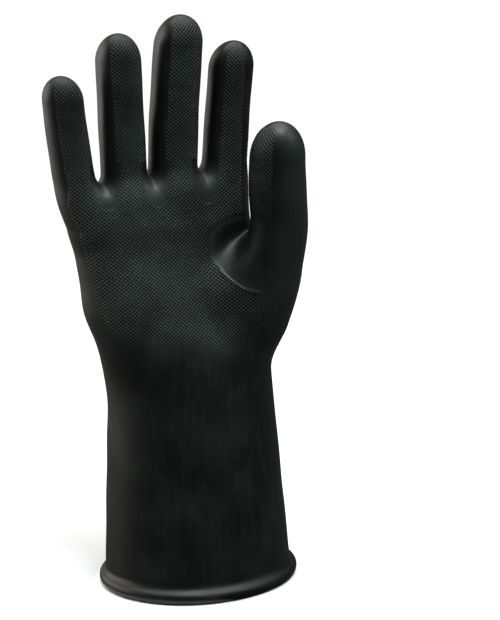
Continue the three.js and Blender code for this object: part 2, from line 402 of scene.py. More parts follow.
def edges_of(quads):
    """The different edges of quads, and for each quad the numbers of its four edges in order."""
    pairs = np.stack([quads, np.roll(quads, -1, axis=1)], axis=2)
    low, high = pairs.min(2).ravel(), pairs.max(2).ravel()
    code, number = np.unique(low.astype(np.int64) << 32 | high, return_inverse=True)
    return np.stack([code >> 32, code & 0xFFFFFFFF], axis=1), number.reshape(-1, 4)


def evened(field, points, quads, fixed):
    """Points drawn to the mean of their neighbours and settled again, four times, to even the quads."""
    edges = edges_of(quads)[0]
    ends = np.concatenate([edges, edges[:, ::-1]])
    degree = np.bincount(ends[:, 0], minlength=len(points))[:, None]
    for _ in range(4):
        sums = [np.bincount(ends[:, 0], points[ends[:, 1], i], len(points)) for i in range(3)]
        mean = np.stack(sums, axis=1)
        moved = 0.5 * points + 0.5 * mean / degree
        moved[fixed] = points[fixed]
        points = settled(field, moved, fixed, steps=1)
    return points


# --- Where each bit of skin belongs ---


def nearest_digit(points):
    """For each point, 0 for the body, 1 for the thumb, or 2 and up for the fingers in order."""
    x, y, z = points.T
    fields = [body_field(x, y, z), thumb_field(x, y, z)] + [finger_field(f, x, y, z) for f in FINGERS]
    return np.argmin(fields, axis=0)


BEND_MARGIN = 0.8  # of still film before a finger's first bend, in the finger's own piece

# Reach of each bend before and after its hinge, over the bend's largest angle times its radius
BEND_REACH = {
    "wrist_bend": (1.35, 1.35),
    "thumb_spread": (0.92, 1.35),
    "thumb_end_bend": (1.2, 1.2),
    "knuckle_bend": (0.8, 0.9),
    "middle_bend": (0.9, 0.9),
    "end_bend": (0.9, 0.9),
}


@cache
def bend_zone(name):
    """Start and end of the stretch that bends at a hinge, in millimetres.

    It runs along the film through the hinge, at right angles to the hinge's axis. Its length before and
    after the hinge is the largest angle times the radius times BEND_REACH, so that the inside of the
    bend doesn't fold over itself.
    """
    joint = JOINTS[name]
    middle = place_of(joint["pos_m"])
    digit = name.split("_")[0]
    if digit == "wrist":
        run, radius = np.array([0.0, 0, 1]), along(BODY, np.array(middle[2]))[2]
    elif digit == "thumb":
        foot, tip = (place_of(JOINTS[n]["pos_m"]) for n in ("thumb_spread", "thumb_end_bend"))
        run, radius = tip - foot, THUMB_RADIUS
    else:
        root, end = (place_of(JOINTS[f"{digit}_{bend}_bend"]["pos_m"]) for bend in ("knuckle", "end"))
        run, radius = end - root, FINGER_WIDTHS[digit][0]
    run = run / np.linalg.norm(run)
    angle = math.radians(max(abs(limit) for limit in joint["range_deg"]))
    before, after = BEND_REACH[name if digit in ("wrist", "thumb") else name.split("_", 1)[1]]
    return middle - before * angle * radius * run, middle + after * angle * radius * run


def beyond(name, points):
    """Whether points are past the start of a hinge's bend, or within a margin before it."""
    start, end = bend_zone(name)
    run = (end - start) / np.linalg.norm(end - start)
    return (points - start) @ run > -BEND_MARGIN


def between(first, second, points):
    """Whether points are past the middle of the stiff film between two bends."""
    low, start = bend_zone(first)
    end = bend_zone(second)[0]
    return (points - (start + end) / 2) @ (start - low) > 0


def piece_numbers(points):
    """The number in PIECES of the piece that each point of the hand's skin belongs to."""
    names = list(PIECES)
    digit = nearest_digit(points)
    height = points[:, 2]
    palm = np.where(height < SPLIT_PALM, names.index("palm_heel"), names.index("palm"))
    number = np.where(points[:, 1] < 0, palm, names.index("hand_back"))
    number[height < SPLIT_HAND] = names.index("wrist")
    thumb = (digit == 1) & (height > THUMB_ROOT)
    number[thumb] = names.index("thumb_root")
    number[thumb & between("thumb_spread", "thumb_end_bend", points)] = names.index("thumb_end")
    for i, finger in enumerate(FINGERS, start=2):
        knuckle, middle, end = (f"{finger}_{bend}_bend" for bend in ("knuckle", "middle", "end"))
        mine = (digit == i) & beyond(knuckle, points)
        number[mine] = names.index(f"{finger}_root")
        mine = mine & between(knuckle, middle, points)
        number[mine] = names.index(f"{finger}_middle")
        number[mine & between(middle, end, points)] = names.index(f"{finger}_end")
    return number


def film_pieces():
    """The pieces of the hand's skin: the bodies that each joins, its hinge, and the nodes it stands for."""
    made = {
        "wrist": ("cuff", "hand", "wrist_bend", ["wrist_band"]),
        "palm_heel": ("hand", None, None, ["hand_shell"]),
        "palm": ("hand", None, None, ["hand_shell"]),
        "hand_back": ("hand", None, None, ["hand_shell"]),
        "thumb_root": ("hand", "thumb_base", "thumb_spread", ["thumb_root_band", "thumb_base"]),
        "thumb_end": ("thumb_base", "thumb_end", "thumb_end_bend", ["thumb_end_band", "thumb_tip"]),
    }
    for f in FINGERS:
        base, middle, end = f"{f}_base", f"{f}_middle", f"{f}_end"
        node = f"{f}_finger"
        root_nodes = [f"{node}_knuckle_band"]
        middle_nodes = [f"{node}_base", f"{node}_middle_band"]
        end_nodes = [f"{node}_middle", f"{node}_end_band", f"{node}_tip"]
        made[f"{f}_root"] = ("hand", base, f"{f}_knuckle_bend", root_nodes)
        made[f"{f}_middle"] = (base, middle, f"{f}_middle_bend", middle_nodes)
        made[f"{f}_end"] = (middle, end, f"{f}_end_bend", end_nodes)
    return made


PIECES = film_pieces()

# --- The grip ---

GRIP_FACING = math.radians(15)  # the way that the fingers' grip faces, round from the palm's way
THUMB_FACING = math.radians(-76)  # the way that the thumb's grip faces
GRIP_SPREAD = math.radians(49)  # how far round the grip reaches on the fingers, to each side
PALM_SPREAD = math.radians(66)  # and on the palm
PALM_TOP = (226.0, 240.0)  # heights over which the palm's spread passes into the fingers'
GRIP_EDGE = math.radians(9)  # width of the grip's edge
GRIP_SHARPNESS = 1.4  # power of the cosine that shapes a line, where more is thinner
GRIP_TOP = (0.66, 0.84)  # upward slope of the skin over which the grip fades out at the tips
GRIP_BOTTOM = (134.0, 158.0)  # heights over which the grip fades out at the wrist
GRIP_TILT = 0.12  # how much lower the grip's foot is towards the thumb, over x
THUMB_GRIP = (214.0, 226.0)  # heights over which the thumb's grip begins
WEB_PILLOW = (8.0, 17.0)  # half width and length of the smooth pillow under each web
PILLOW_TOP = 4.0  # how far the pillow's middle is above the web
PILLOW_EDGE = 2.2  # softness of its edge

FINISH_AND_SHEEN_RISE = (125.0, 185.0)  # heights over which the sleeve's finish passes into the hand's, and the hand's painted sheen begins
FINGER_FINISH_AND_SHEEN = 0.15  # share of the hand's finish and painted sheen that the fingers and the hollow beside the thumb keep, over the palm; their weaker sheen paints the shade between the fingers and in the hollow
HOLLOW_FINISH_AND_SHEEN = 0.1
FOLD_RISE = 0.4
FOLD_WIDTH = 0.9
FOLD_TURNS = (-165, -150, -100, -84)  # degrees round the hollow where the fold rises and ends
FINE_FROM = 0.02  # strength of the grip or fold from which quads are cut in four


def thenar_distance(x, z):
    """Distance from the edge of the smooth skin round the thumb, negative inside it.

    The edge is an ellipse on the palm's side. Past the ellipse's middle it is a line that falls away.
    """
    across, up = x - THENAR["x"], z - THENAR["z"]
    size = np.hypot(across / THENAR["width"], up / np.where(up > 0, THENAR["rise"], THENAR["height"]))
    ellipse = (size - 1) * THENAR["width"]
    line = -(up + THENAR["height"] + THENAR["fall"] * across) / math.hypot(1, THENAR["fall"])
    return np.where(across > 0, line, ellipse)


def web_pillows(x, z):
    """1 on the smooth wedges under the webs, which narrow downwards from each web."""
    covered = np.zeros(x.shape)
    for left, right in zip(FINGERS, FINGERS[1:]):
        middle = (finger_centre(left, WEB_TOP)[0] + finger_centre(right, WEB_TOP)[0]) / 2
        depth = np.clip((WEB_TOP + PILLOW_TOP - z) / WEB_PILLOW[1], 0, 1)
        half = WEB_PILLOW[0] * np.sqrt(1 - depth**2)
        wedge = smooth_step(half - np.abs(x - middle), -PILLOW_EDGE, PILLOW_EDGE)
        covered = np.maximum(covered, wedge * (z < WEB_TOP + 12) * (depth < 1))
    return covered


def grip_map(points, normals, sizes):
    """Phases of the grip's two families of lines, and how strongly the grip shows, from 0 to 1.

    Across the palm the lines run over x and height. On a digit x gives way to the arc length round it.
    """
    x, y, z = points.T
    digit = nearest_digit(points)
    across = x.copy()
    for i, finger in enumerate(FINGERS, start=2):
        cx, cy = finger_centre(finger, z)
        arc = FINGER_WIDTHS[finger][0] * np.arctan2(x - cx, cy - y)
        share = smooth_step(z, WEB_TOP - 4, WEB_TOP + 12)
        across = np.where(digit == i, x + share * (cx + arc - x), across)
    cx, cy, half_width, _ = along(THUMB, z)
    on_thumb = (digit == 1) & (z > THENAR["z"])
    across = np.where(on_thumb, half_width * np.arctan2(x - cx, cy - y), across)
    lean_x, lean_z = math.sin(sizes.grip_angle), math.cos(sizes.grip_angle)
    pitch = sizes.pitch / MM
    rising, falling = z * lean_z + across * lean_x, z * lean_z - across * lean_x
    phases = np.stack([rising, falling], axis=1) / pitch

    facing = np.arctan2(normals[:, 0], -normals[:, 1])
    away = np.abs(facing - np.where(on_thumb, THUMB_FACING, GRIP_FACING))
    palm = (1 - smooth_step(z, *PALM_TOP)) * ~on_thumb
    spread = GRIP_SPREAD + (PALM_SPREAD - GRIP_SPREAD) * palm
    shows = 1 - smooth_step(away, spread - GRIP_EDGE, spread)
    shows *= 1 - smooth_step(normals[:, 2], *GRIP_TOP)
    shows *= smooth_step(z + GRIP_TILT * x, *GRIP_BOTTOM)
    fade = 0.6 + 4.0 * smooth_step(z, THENAR["z"] - 18, THENAR["z"] - 6)
    hollow = smooth_step(thenar_distance(x, z), np.where(x > THENAR["x"], -7.0, -1.0), fade)
    shows *= np.where(on_thumb, smooth_step(z, *THUMB_GRIP), hollow * (1 - web_pillows(x, z)))
    return phases, shows


def finish_and_sheen_map(points):
    """How far the skin has the hand's finish, with fewer streaks, and its painted sheen, from 0 on the
    sleeve to 1 on the palm and thumb.

    It is less on the fingers and in the hollow beside the thumb, where the weaker painted sheen paints
    their shade.
    """
    x, y, height = points.T
    finger = (nearest_digit(points) > 1) * smooth_step(height, WEB_TOP - 10, WEB_TOP + 8)
    hollow = (1 - smooth_step(thenar_distance(x, height), -6, 0)) * (1 - smooth_step(x, 26, 38))
    foot = THENAR["z"] - THENAR["height"]
    hollow *= smooth_step(-y, 5, 15) * smooth_step(height, foot - 6, foot + 7)
    kept = (1 - (1 - FINGER_FINISH_AND_SHEEN) * finger) * (1 - (1 - HOLLOW_FINISH_AND_SHEEN) * hollow)
    return smooth_step(height, *FINISH_AND_SHEEN_RISE) * kept


def grip_rise(phases):
    """Height of the grip, from 0 to 1: two families of rounded lines, joined where they cross."""
    lines = (0.5 + 0.5 * np.cos(2 * np.pi * phases)) ** GRIP_SHARPNESS
    return 1 - (1 - lines[:, 0]) * (1 - lines[:, 1])


def fold_rise(points):
    """Height of the fold along the lower edge of the hollow beside the thumb, in millimetres."""
    x, y, z = points.T
    turn = np.degrees(np.arctan2((z - THENAR["z"]) / THENAR["height"], (x - THENAR["x"]) / THENAR["width"]))
    along_fold = smooth_step(turn, *FOLD_TURNS[:2]) * (1 - smooth_step(turn, *FOLD_TURNS[2:]))
    edge = np.exp(-((thenar_distance(x, z) / FOLD_WIDTH) ** 2))
    return FOLD_RISE * edge * along_fold * (y < -5)


# --- The film ---


@cache
def hand_skin():
    """The skin from the wrist up, as base quads that are cut in four where the grip or fold needs it."""
    sizes = bpy.context.scene.glove_sizes
    cell = sizes.cell / MM
    low = np.array([*(place_of(CAD_LOW)[:2] - 4), SPLIT_WRIST - cell / 2])
    high = place_of(CAD_HIGH) + 4
    points, quads, lowest = surface_net(glove_field, low, high, cell)
    points[lowest, 2] = SPLIT_WRIST
    points = settled(glove_field, points, lowest)
    points = evened(glove_field, points, quads, lowest)
    points = settled(glove_field, points, lowest, steps=2)

    middles = points[quads].mean(1)
    normals = unit(slope_of(glove_field, middles)[1])
    fine = np.maximum(grip_map(middles, normals, sizes)[1], fold_rise(middles)) > FINE_FROM
    edges, edge_of = edges_of(quads)
    split = np.zeros(len(edges), bool)
    split[edge_of[fine]] = True
    on_edge = np.full(len(edges), -1)
    on_edge[split] = len(points) + np.arange(split.sum())
    in_face = np.full(len(quads), -1)
    in_face[fine] = len(points) + split.sum() + np.arange(fine.sum())
    added = np.concatenate([points[edges[split]].mean(1), middles[fine]])
    points = np.concatenate([points, settled(glove_field, added, steps=2)])
    smooth = unit(slope_of(glove_field, points)[1])
    phases, shows = grip_map(points, smooth, sizes)
    raised = shows * grip_rise(phases) * sizes.grip_height / MM + fold_rise(points)
    outer = points + smooth * raised[:, None]
    return {
        "outer": outer,
        "inner": points - smooth * sizes.wall / MM,
        "smooth": smooth,
        "phases": phases,
        "shows": shows,
        "finish_and_sheen": finish_and_sheen_map(points),
        "quads": quads,
        "edge_of": edge_of,
        "on_edge": on_edge,
        "in_face": in_face,
        "piece": piece_numbers(middles),
    }


def padded(rows, columns):
    """Rows of vertex numbers with columns of -1 added, which stand for no vertex."""
    return np.pad(rows, ((0, 0), (0, columns)), constant_values=-1)


def outer_faces(skin, chosen):
    """Outer faces over chosen base quads, as rows of up to 8 vertex numbers with -1 for none.

    A fine quad becomes four. Its unsplit neighbours take in the new vertices on their shared edges.
    """
    quads, middles = skin["quads"][chosen], skin["on_edge"][skin["edge_of"][chosen]]
    centre = skin["in_face"][chosen]
    fine = centre >= 0
    rows = [np.stack([quads[~fine], middles[~fine]], axis=2).reshape(-1, 8)]
    for i in range(4):
        quarter = [quads[fine, i], middles[fine, i], centre[fine], middles[fine, i - 1]]
        rows.append(padded(np.stack(quarter, axis=1), 4))
    return np.concatenate(rows)


def rim_faces(skin, chosen, inner_start):
    """Faces that close the film's thickness along the border of chosen base quads."""
    quads, edge_of = skin["quads"][chosen], skin["edge_of"][chosen]
    uses = np.bincount(edge_of.ravel(), minlength=len(skin["on_edge"]))
    face, side = np.nonzero(uses[edge_of] == 1)
    a, b = quads[face, side], quads[face, (side + 1) % 4]
    middle = skin["on_edge"][edge_of[face, side]]
    row = np.stack([b, middle, a, a + inner_start, b + inner_start], axis=1)
    return padded(row, 3)


def linked(name, data):
    """A new object of the scene."""
    thing = bpy.data.objects.new(name, data)
    bpy.context.scene.collection.objects.link(thing)
    return thing


def new_piece(name, points, rows, normals, phases, values):
    """A mesh object from vertices in millimetres and rows of vertex numbers, where -1 fills a row.

    The values are the numbers of each vertex that its material reads, by name.
    """
    used, rows_flat = np.unique(rows[rows >= 0], return_inverse=True)
    sizes = (rows >= 0).sum(1)
    mesh = bpy.data.meshes.new(name)
    mesh.vertices.add(len(used))
    mesh.vertices.foreach_set("co", ((points[used] + CUFF_MIDDLE) * MM).astype(np.float32).ravel())
    mesh.loops.add(len(rows_flat))
    mesh.loops.foreach_set("vertex_index", rows_flat.astype(np.int32))
    mesh.polygons.add(len(rows))
    mesh.polygons.foreach_set("loop_start", np.concatenate([[0], np.cumsum(sizes)[:-1]]).astype(np.int32))
    mesh.update(calc_edges=True)
    mesh.validate()
    mesh.polygons.foreach_set("use_smooth", np.ones(len(mesh.polygons), bool))
    corners = np.empty(len(mesh.loops), np.int32)
    mesh.loops.foreach_get("vertex_index", corners)
    grip_uv = mesh.uv_layers.new(name="grip_lines")
    grip_uv.data.foreach_set("uv", phases[used][corners].astype(np.float32).ravel())
    for key, value in values.items():
        mesh.attributes.new(key, "FLOAT", "POINT").data.foreach_set("value", value[used].astype(np.float32))
    mesh.normals_split_custom_set_from_vertices(normals[used].tolist())
    return linked(name, mesh)


def shading_normals(points, rows, smooth, shows):
    """Normals for shading: the faces' where the grip shows, and the smooth skin's elsewhere."""
    quad = rows[:, :4]
    span_a = points[quad[:, 2]] - points[quad[:, 0]]
    span_b = points[quad[:, 3]] - points[quad[:, 1]]
    face = np.cross(span_a, span_b)
    total = np.stack(
        [np.bincount(quad.ravel(), np.repeat(face[:, i], 4), len(points)) for i in range(3)], axis=1
    )
    weight = smooth_step(shows, 0.0, 0.3)[:, None]
    return unit(smooth * (1 - weight) + unit(total) * weight)


def hand_piece(name):
    """One piece of the hand's film: outer faces, the inner wall, and the rim that joins them."""
    skin = hand_skin()
    chosen = skin["piece"] == list(PIECES).index(name)
    start = len(skin["outer"])
    inner = padded(skin["quads"][chosen][:, ::-1] + start, 4)
    rows = np.concatenate([outer_faces(skin, chosen), inner, rim_faces(skin, chosen, start)])
    points = np.concatenate([skin["outer"], skin["inner"]])
    normals = np.concatenate([skin_normals(), -skin["smooth"]])
    phases = np.concatenate([skin["phases"]] * 2)
    values = {
        "grip_shows": np.concatenate([skin["shows"], 0 * skin["shows"]]),
        "finish_and_sheen": np.concatenate([skin["finish_and_sheen"]] * 2),
    }
    return new_piece(name, points, rows, normals, phases, values)


@cache
def skin_normals():
    """Shading normals of the whole hand's skin, so that they agree where two pieces meet."""
    skin = hand_skin()
    everything = np.ones(len(skin["quads"]), bool)
    rows = outer_faces(skin, everything)
    whole = (rows[:, 1] < 0) | (rows[:, 4] >= 0)
    quads = np.where(whole[:, None], rows[:, [0, 2, 4, 6]], rows[:, :4])
    fold = fold_rise(skin["outer"]) / 0.3
    return shading_normals(skin["outer"], quads, skin["smooth"], np.maximum(skin["shows"], fold))


# --- The sleeve and the cuff's roll ---

RING_STEPS = 288  # vertices round the sleeve
FILM_STEPS = 60  # and up it
SLEEVE_FOOT = 13.0  # height where the sleeve passes into the cuff's roll
ROLL_RADIUS = 4.0
ROLL_MIDDLE = (-0.3, 3.85)  # outward from the sleeve's wall, and up
ROLL_FLARE = 5.0  # radius of the hollow between the wall and the roll
ROLL_EDGE = 2.4  # radius of the inner edge at the foot


def ring_wall(heights):
    """Points of the sleeve's outer wall, a ring for each height, and the level directions out of it."""
    turn = np.linspace(0, 2 * np.pi, RING_STEPS, endpoint=False)
    z, turn = np.meshgrid(heights, turn, indexing="ij")
    cx, half_width, half_depth, _ = along(BODY, z)
    wall = np.stack([cx + half_width * np.cos(turn), half_depth * np.sin(turn), z], axis=-1).reshape(-1, 3)
    level = np.ones(len(wall), bool)
    wall = settled(sleeve_field, wall, level, steps=4)
    return wall, unit(slope_of(sleeve_field, wall)[1] * [1, 1, 0])


def swept(name, profile):
    """A closed profile of (outward, height) rows carried round the sleeve's wall."""
    wall, outward = ring_wall(np.maximum(profile[:, 1], 0))
    points = wall + outward * np.repeat(profile[:, 0], RING_STEPS)[:, None]
    rows, steps = np.arange(len(profile)), np.arange(RING_STEPS)
    a, b = rows[:, None] * RING_STEPS, np.roll(rows, -1)[:, None] * RING_STEPS
    quads = np.stack([a + steps, b + steps, b + np.roll(steps, -1), a + np.roll(steps, -1)], axis=2)
    quads = quads.reshape(-1, 4)
    on_film = np.repeat(profile[:, 1] > SLEEVE_FOOT - 1.5, RING_STEPS)[:, None]
    inside = np.repeat(profile[:, 0] < -0.01, RING_STEPS)[:, None]
    film = unit(slope_of(sleeve_field, wall)[1]) * np.where(inside, -1, 1)
    meshed = shading_normals(points, quads, film, np.ones(len(points)))
    normals = np.where(on_film, film, meshed)
    no_phases = np.zeros((len(points), 2))
    values = {"grip_shows": no_phases[:, 0], "finish_and_sheen": no_phases[:, 0]}
    return new_piece(name, points, padded(quads, 4), normals, no_phases, values)


def arc(middle, radius, first, last, steps):
    """Rows of (outward, height) on an arc between two angles, in degrees."""
    angle = np.radians(np.linspace(first, last, steps))
    return np.array(middle) + radius * np.stack([np.cos(angle), np.sin(angle)], axis=1)


def roll_profile(wall):
    """The cuff's foot: the wall flares out in a hollow arc onto a round roll that stands on a flat foot.

    The hollow's circle touches the wall and the roll's circle, so its middle is at the sum of the two
    radii from the roll's middle.
    """
    reach = ROLL_RADIUS + ROLL_FLARE
    rise = math.sqrt(reach**2 - (ROLL_FLARE - ROLL_MIDDLE[0]) ** 2)
    meets = math.degrees(math.atan2(rise, ROLL_FLARE - ROLL_MIDDLE[0]))
    hollow = arc((ROLL_FLARE, ROLL_MIDDLE[1] + rise), ROLL_FLARE, 180, 180 + meets, 14)
    roll = arc(ROLL_MIDDLE, ROLL_RADIUS, meets, -90, 26)[1:]
    roll[:, 1] = np.maximum(roll[:, 1], 0)
    edge = arc((ROLL_EDGE - wall, ROLL_EDGE), ROLL_EDGE, 270, 180, 8)
    outer = np.array([[0, SLEEVE_FOOT], [0, SLEEVE_FOOT - 0.8]])
    inner = np.array([[-wall, height] for height in (5.0, 9.0, SLEEVE_FOOT)])
    edge = edge[edge[:, 0] < roll[-1, 0] - 0.2]
    return np.concatenate([outer, hollow, roll, edge, inner])


def sleeve_profile(wall):
    """The sleeve's film: up the outside and down the inside."""
    heights = np.linspace(SLEEVE_FOOT, SPLIT_WRIST, FILM_STEPS)
    outer = np.stack([0 * heights, heights], axis=1)[::-1]
    inner = np.stack([0 * heights - wall, heights], axis=1)
    return np.concatenate([outer, inner])


# --- Finishes ---


class Nodes:
    """Short ways to add shader nodes to one material."""

    def __init__(self, name):
        """Makes the material, which has one Principled shader."""
        self.material = bpy.data.materials.new(name)
        self.material.use_nodes = True
        self.tree = self.material.node_tree
        self.shader = self.tree.nodes["Principled BSDF"]

    def put(self, value, socket):
        """Links a socket or sets a number."""
        if isinstance(value, bpy.types.NodeSocket):
            self.tree.links.new(value, socket)
        else:
            socket.default_value = value

    def fill(self, node, inputs):
        """Links or sets a node's inputs, whose names have _ for a space."""
        for key, value in inputs.items():
            self.put(value, node.inputs[key.replace("_", " ")])
        return node

    def add(self, kind, **inputs):
        """A node of a kind, with its named inputs filled."""
        return self.fill(self.tree.nodes.new(kind), inputs)

    def shaded(self, **inputs):
        """The material, with its shader's named inputs filled."""
        self.fill(self.shader, inputs)
        return self.material

    def math(self, operation, *values):
        """The result of a sum, a product or another operation on values."""
        node = self.tree.nodes.new("ShaderNodeMath")
        node.operation = operation
        for socket, value in zip(node.inputs, values):
            self.put(value, socket)
        return node.outputs[0]

    def ramp(self, value, low, high, to_low=0.0, to_high=1.0):
        """A value between two limits carried to two others, smoothly."""
        node = self.add("ShaderNodeMapRange")
        node.interpolation_type = "SMOOTHSTEP"
        for i, number in enumerate((value, low, high, to_low, to_high)):
            self.put(number, node.inputs[i])
        return node.outputs[0]

    def noise(self, size, detail, stretch=(1, 1, 1)):
        """Noise over the object whose blobs are about a size in metres, stretched along an axis."""
        place = self.add("ShaderNodeTexCoord").outputs["Object"]
        mapping = self.add("ShaderNodeMapping", Vector=place)
        mapping.inputs["Scale"].default_value = [1 / (size * s) for s in stretch]
        node = self.add(
            "ShaderNodeTexNoise", Vector=mapping.outputs[0], Scale=1.0, Detail=detail, Roughness=0.55
        )
        return node.outputs[0]

    def attribute(self, name):
        """A number that each vertex carries."""
        node = self.add("ShaderNodeAttribute")
        node.attribute_name = name
        return node.outputs["Fac"]

    def mix(self, share, a, b):
        """A colour between two others."""
        node = self.tree.nodes.new("ShaderNodeMix")
        node.data_type = "RGBA"
        self.put(share, node.inputs[0])
        self.put(a, node.inputs[6])
        self.put(b, node.inputs[7])
        return node.outputs[2]

    def bump(self, height, distance, strength, under=None):
        """A normal bent by a height of up to a distance in metres, over another normal."""
        node = self.add("ShaderNodeBump", Height=height, Distance=distance, Strength=strength)
        if under is not None:
            self.put(under, node.inputs["Normal"])
        return node.outputs[0]


def grip_nodes(nodes):
    """Height of the grip's lines at the surface, from 0 to 1, and how strongly they show."""
    uv = nodes.add("ShaderNodeUVMap")
    uv.uv_map = "grip_lines"
    parts = nodes.add("ShaderNodeSeparateXYZ", Vector=uv.outputs[0])
    lines = [
        nodes.ramp(nodes.math("COSINE", nodes.math("MULTIPLY", parts.outputs[i], 2 * math.pi)), 0.45, 1.0)
        for i in range(2)
    ]
    return nodes.math("MAXIMUM", *lines), nodes.attribute("grip_shows")


# Marks on the rubber: sizes and depths in metres, and how much paler and rougher each makes it at its
# strongest.
# A bump is a depth and a strength.
PATCH = {"size": 0.028, "paler": 0.10, "rough": 0.11}
STREAK = {"size": 0.0022, "paler": 0.07, "stretch": (1, 1, 28), "bump": (0.00012, 0.07)}
SPECK = {"size": 0.0011, "paler": 0.30, "rough": 0.10}
# Painted sheen: how much paler the smooth skin of the hand is made where the grip doesn't show. It stands
# in for the light that skin reflects.
PAINTED_SHEEN = 0.33
# Size of the patches in which the grip's lines get more of their painted highlight
HIGHLIGHT_PATCH_SIZE = 0.020
PEEL = {"size": 0.00075, "bump": (0.00005, 0.5)}
WAVE = {"size": 0.011, "bump": (0.0006, 0.25)}
GRIP_BUMP = (0.00022, 0.7)
ROUGHNESS = 0.43  # of the clean rubber
REFLECTION = 0.34
RUBBER_IOR = 1.5


def rubber(name, bead=False):
    """Dipped rubber: near black, dulled in patches, with a fine orange-peel skin, specks and dip streaks.

    A vertex attribute carries it from the sleeve's finish to the hand's. The hand's finish has fewer
    streaks and a painted sheen, which makes the smooth skin paler where the grip doesn't show and stands in
    for the light that skin reflects.
    The grip's lines are made paler as a painted highlight, more in some patches than in others. The bead
    has few streaks.
    """
    colours = bpy.context.scene.glove_colours
    nodes = Nodes(name)
    deep, paler = (*colours.rubber, 1), (*colours.bloom_and_sheen, 1)
    finish_and_sheen = nodes.attribute("finish_and_sheen")
    lines, shows = grip_nodes(nodes)
    patches = nodes.ramp(nodes.noise(PATCH["size"], detail=4), 0.38, 0.72)
    streak = nodes.noise(STREAK["size"], detail=2, stretch=STREAK["stretch"])
    streaked = 0.2 if bead else nodes.ramp(finish_and_sheen, 0, 1, 1.0, 0.4)
    specks = nodes.ramp(nodes.noise(SPECK["size"], detail=1), 0.70, 0.78)
    share = nodes.math("MULTIPLY", patches, PATCH["paler"])
    faint = nodes.math("MULTIPLY", nodes.ramp(streak, 0.4, 0.7), STREAK["paler"])
    share = nodes.math("ADD", share, nodes.math("MULTIPLY", faint, streaked))
    share = nodes.math("ADD", share, nodes.math("MULTIPLY", specks, SPECK["paler"]))
    # Painted sheen: the hand's smooth skin is made paler where the grip doesn't show. It stands in for
    # reflected light.
    painted_sheen = nodes.math("MULTIPLY", finish_and_sheen, nodes.ramp(shows, 0.0, 0.6, PAINTED_SHEEN, 0.0))
    share = nodes.math("ADD", share, painted_sheen)
    # Painted highlight: the grip's raised lines are made paler, more in some patches, and stand in for the
    # light on their tops. The same lines also give the grip's bump.
    line_height_and_highlight = nodes.math("MULTIPLY", lines, shows)
    highlight_patches = nodes.ramp(nodes.noise(HIGHLIGHT_PATCH_SIZE, detail=5), 0.30, 0.72, 0.2, 1.0)
    share = nodes.math("ADD", share, nodes.math("MULTIPLY", line_height_and_highlight, highlight_patches))
    rough = nodes.math("ADD", ROUGHNESS, nodes.math("MULTIPLY", patches, PATCH["rough"]))
    rough = nodes.math("ADD", rough, nodes.math("MULTIPLY", specks, SPECK["rough"]))
    streaks = nodes.math("MULTIPLY", streaked, STREAK["bump"][1])
    normal = nodes.bump(nodes.noise(PEEL["size"], detail=3), *PEEL["bump"])
    normal = nodes.bump(streak, STREAK["bump"][0], streaks, under=normal)
    normal = nodes.bump(nodes.noise(WAVE["size"], detail=2), *WAVE["bump"], under=normal)
    normal = nodes.bump(line_height_and_highlight, *GRIP_BUMP, under=normal)
    # The rubber's colour, made paler by the patches, streaks and specks, and by the painted sheen and the
    # painted highlight
    colour = nodes.mix(nodes.math("MINIMUM", share, 1.0), deep, paler)
    return nodes.shaded(
        Base_Color=colour, Roughness=rough, Normal=normal, Specular_IOR_Level=REFLECTION, IOR=RUBBER_IOR
    )


@cache
def finish(slot):
    """The material of one of the record's slots."""
    return rubber(slot, bead=slot == "bead_rubber")


def finished(piece, slot, nodes):
    """Gives a piece its material and hides the plain parts that it stands for."""
    piece.data.materials.append(finish(slot))
    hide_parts(*nodes)
    return piece


def make_film(name):
    """Makes one piece of the hand's film. A piece with no hinge is attached to its body; a piece with a
    hinge only has its transform baked in.
    """
    body, beyond_body, bend, nodes = PIECES[name]
    piece = finished(hand_piece(name), "sleeve_rubber" if name == "wrist" else "grip_rubber", nodes)
    if bend is None:
        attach(piece, body)
        return
    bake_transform(piece)


# --- The studio ---

VIEW = (-20, 11.6)  # azimuth and elevation of the camera, in degrees
VIEW_ROLL = math.radians(-1.0)
VIEW_DISTANCE = 0.9
VIEW_HEIGHT = 0.165
VIEW_ASIDE = -1.2  # how far the view's middle is from the cuff's, along x, in millimetres
LENS = 90.0
SHIFT = (0.0935, -0.0086)
FLOOR_REACH = 60.0  # half size of the floor
FLOOR_ROUGHNESS, FLOOR_REFLECTION = 0.9, 0.1
OVERHEAD_POWER, OVERHEAD_SPREAD = 3.9, math.radians(70)
CLOTH_HOLE = 0.05  # radius of the hole round the glove's foot
CLOTH_LIFT = 0.0004
CLOTH_STEPS = 48
CLOTH_COLOUR = (0.06, 0.06, 0.06, 1)
DIM_WORLD, BRIGHT_WORLD = 0.02, 1.0  # strength of the surroundings in reflections and to the camera
WARM = (1.0, 0.94, 0.89)
COOL = (0.84, 1.0, 0.96)

# Softboxes: azimuth, elevation, distance, width and height, power, colour
SOFTBOXES = {
    "key": (10, 64, 1.2, (0.45, 0.45), 8.2, COOL),
    "front_right": (50, 35, 1.4, (0.5, 0.5), 4, COOL),
    "side_left": (-122, 8, 1.2, (1.35, 1.2), 16.5, WARM),
    "behind_left": (-170, 5, 1.2, (0.6, 1.2), 1.5, WARM),
}


def towards(azimuth, elevation):
    """The direction out of the glove at an azimuth and elevation in degrees, where 0 is the palm's side."""
    a, e = math.radians(azimuth), math.radians(elevation)
    return Vector((math.sin(a) * math.cos(e), -math.cos(a) * math.cos(e), math.sin(e)))


def placed(name, data, middle, back, distance, roll=0.0):
    """A camera or light that looks at the middle from a distance, turned by the roll."""
    piece = linked(name, data)
    turn = back.to_track_quat("Z", "Y").to_matrix().to_4x4() @ Matrix.Rotation(roll, 4, "Z")
    piece.matrix_world = Matrix.Translation(middle + back * distance) @ turn
    return piece


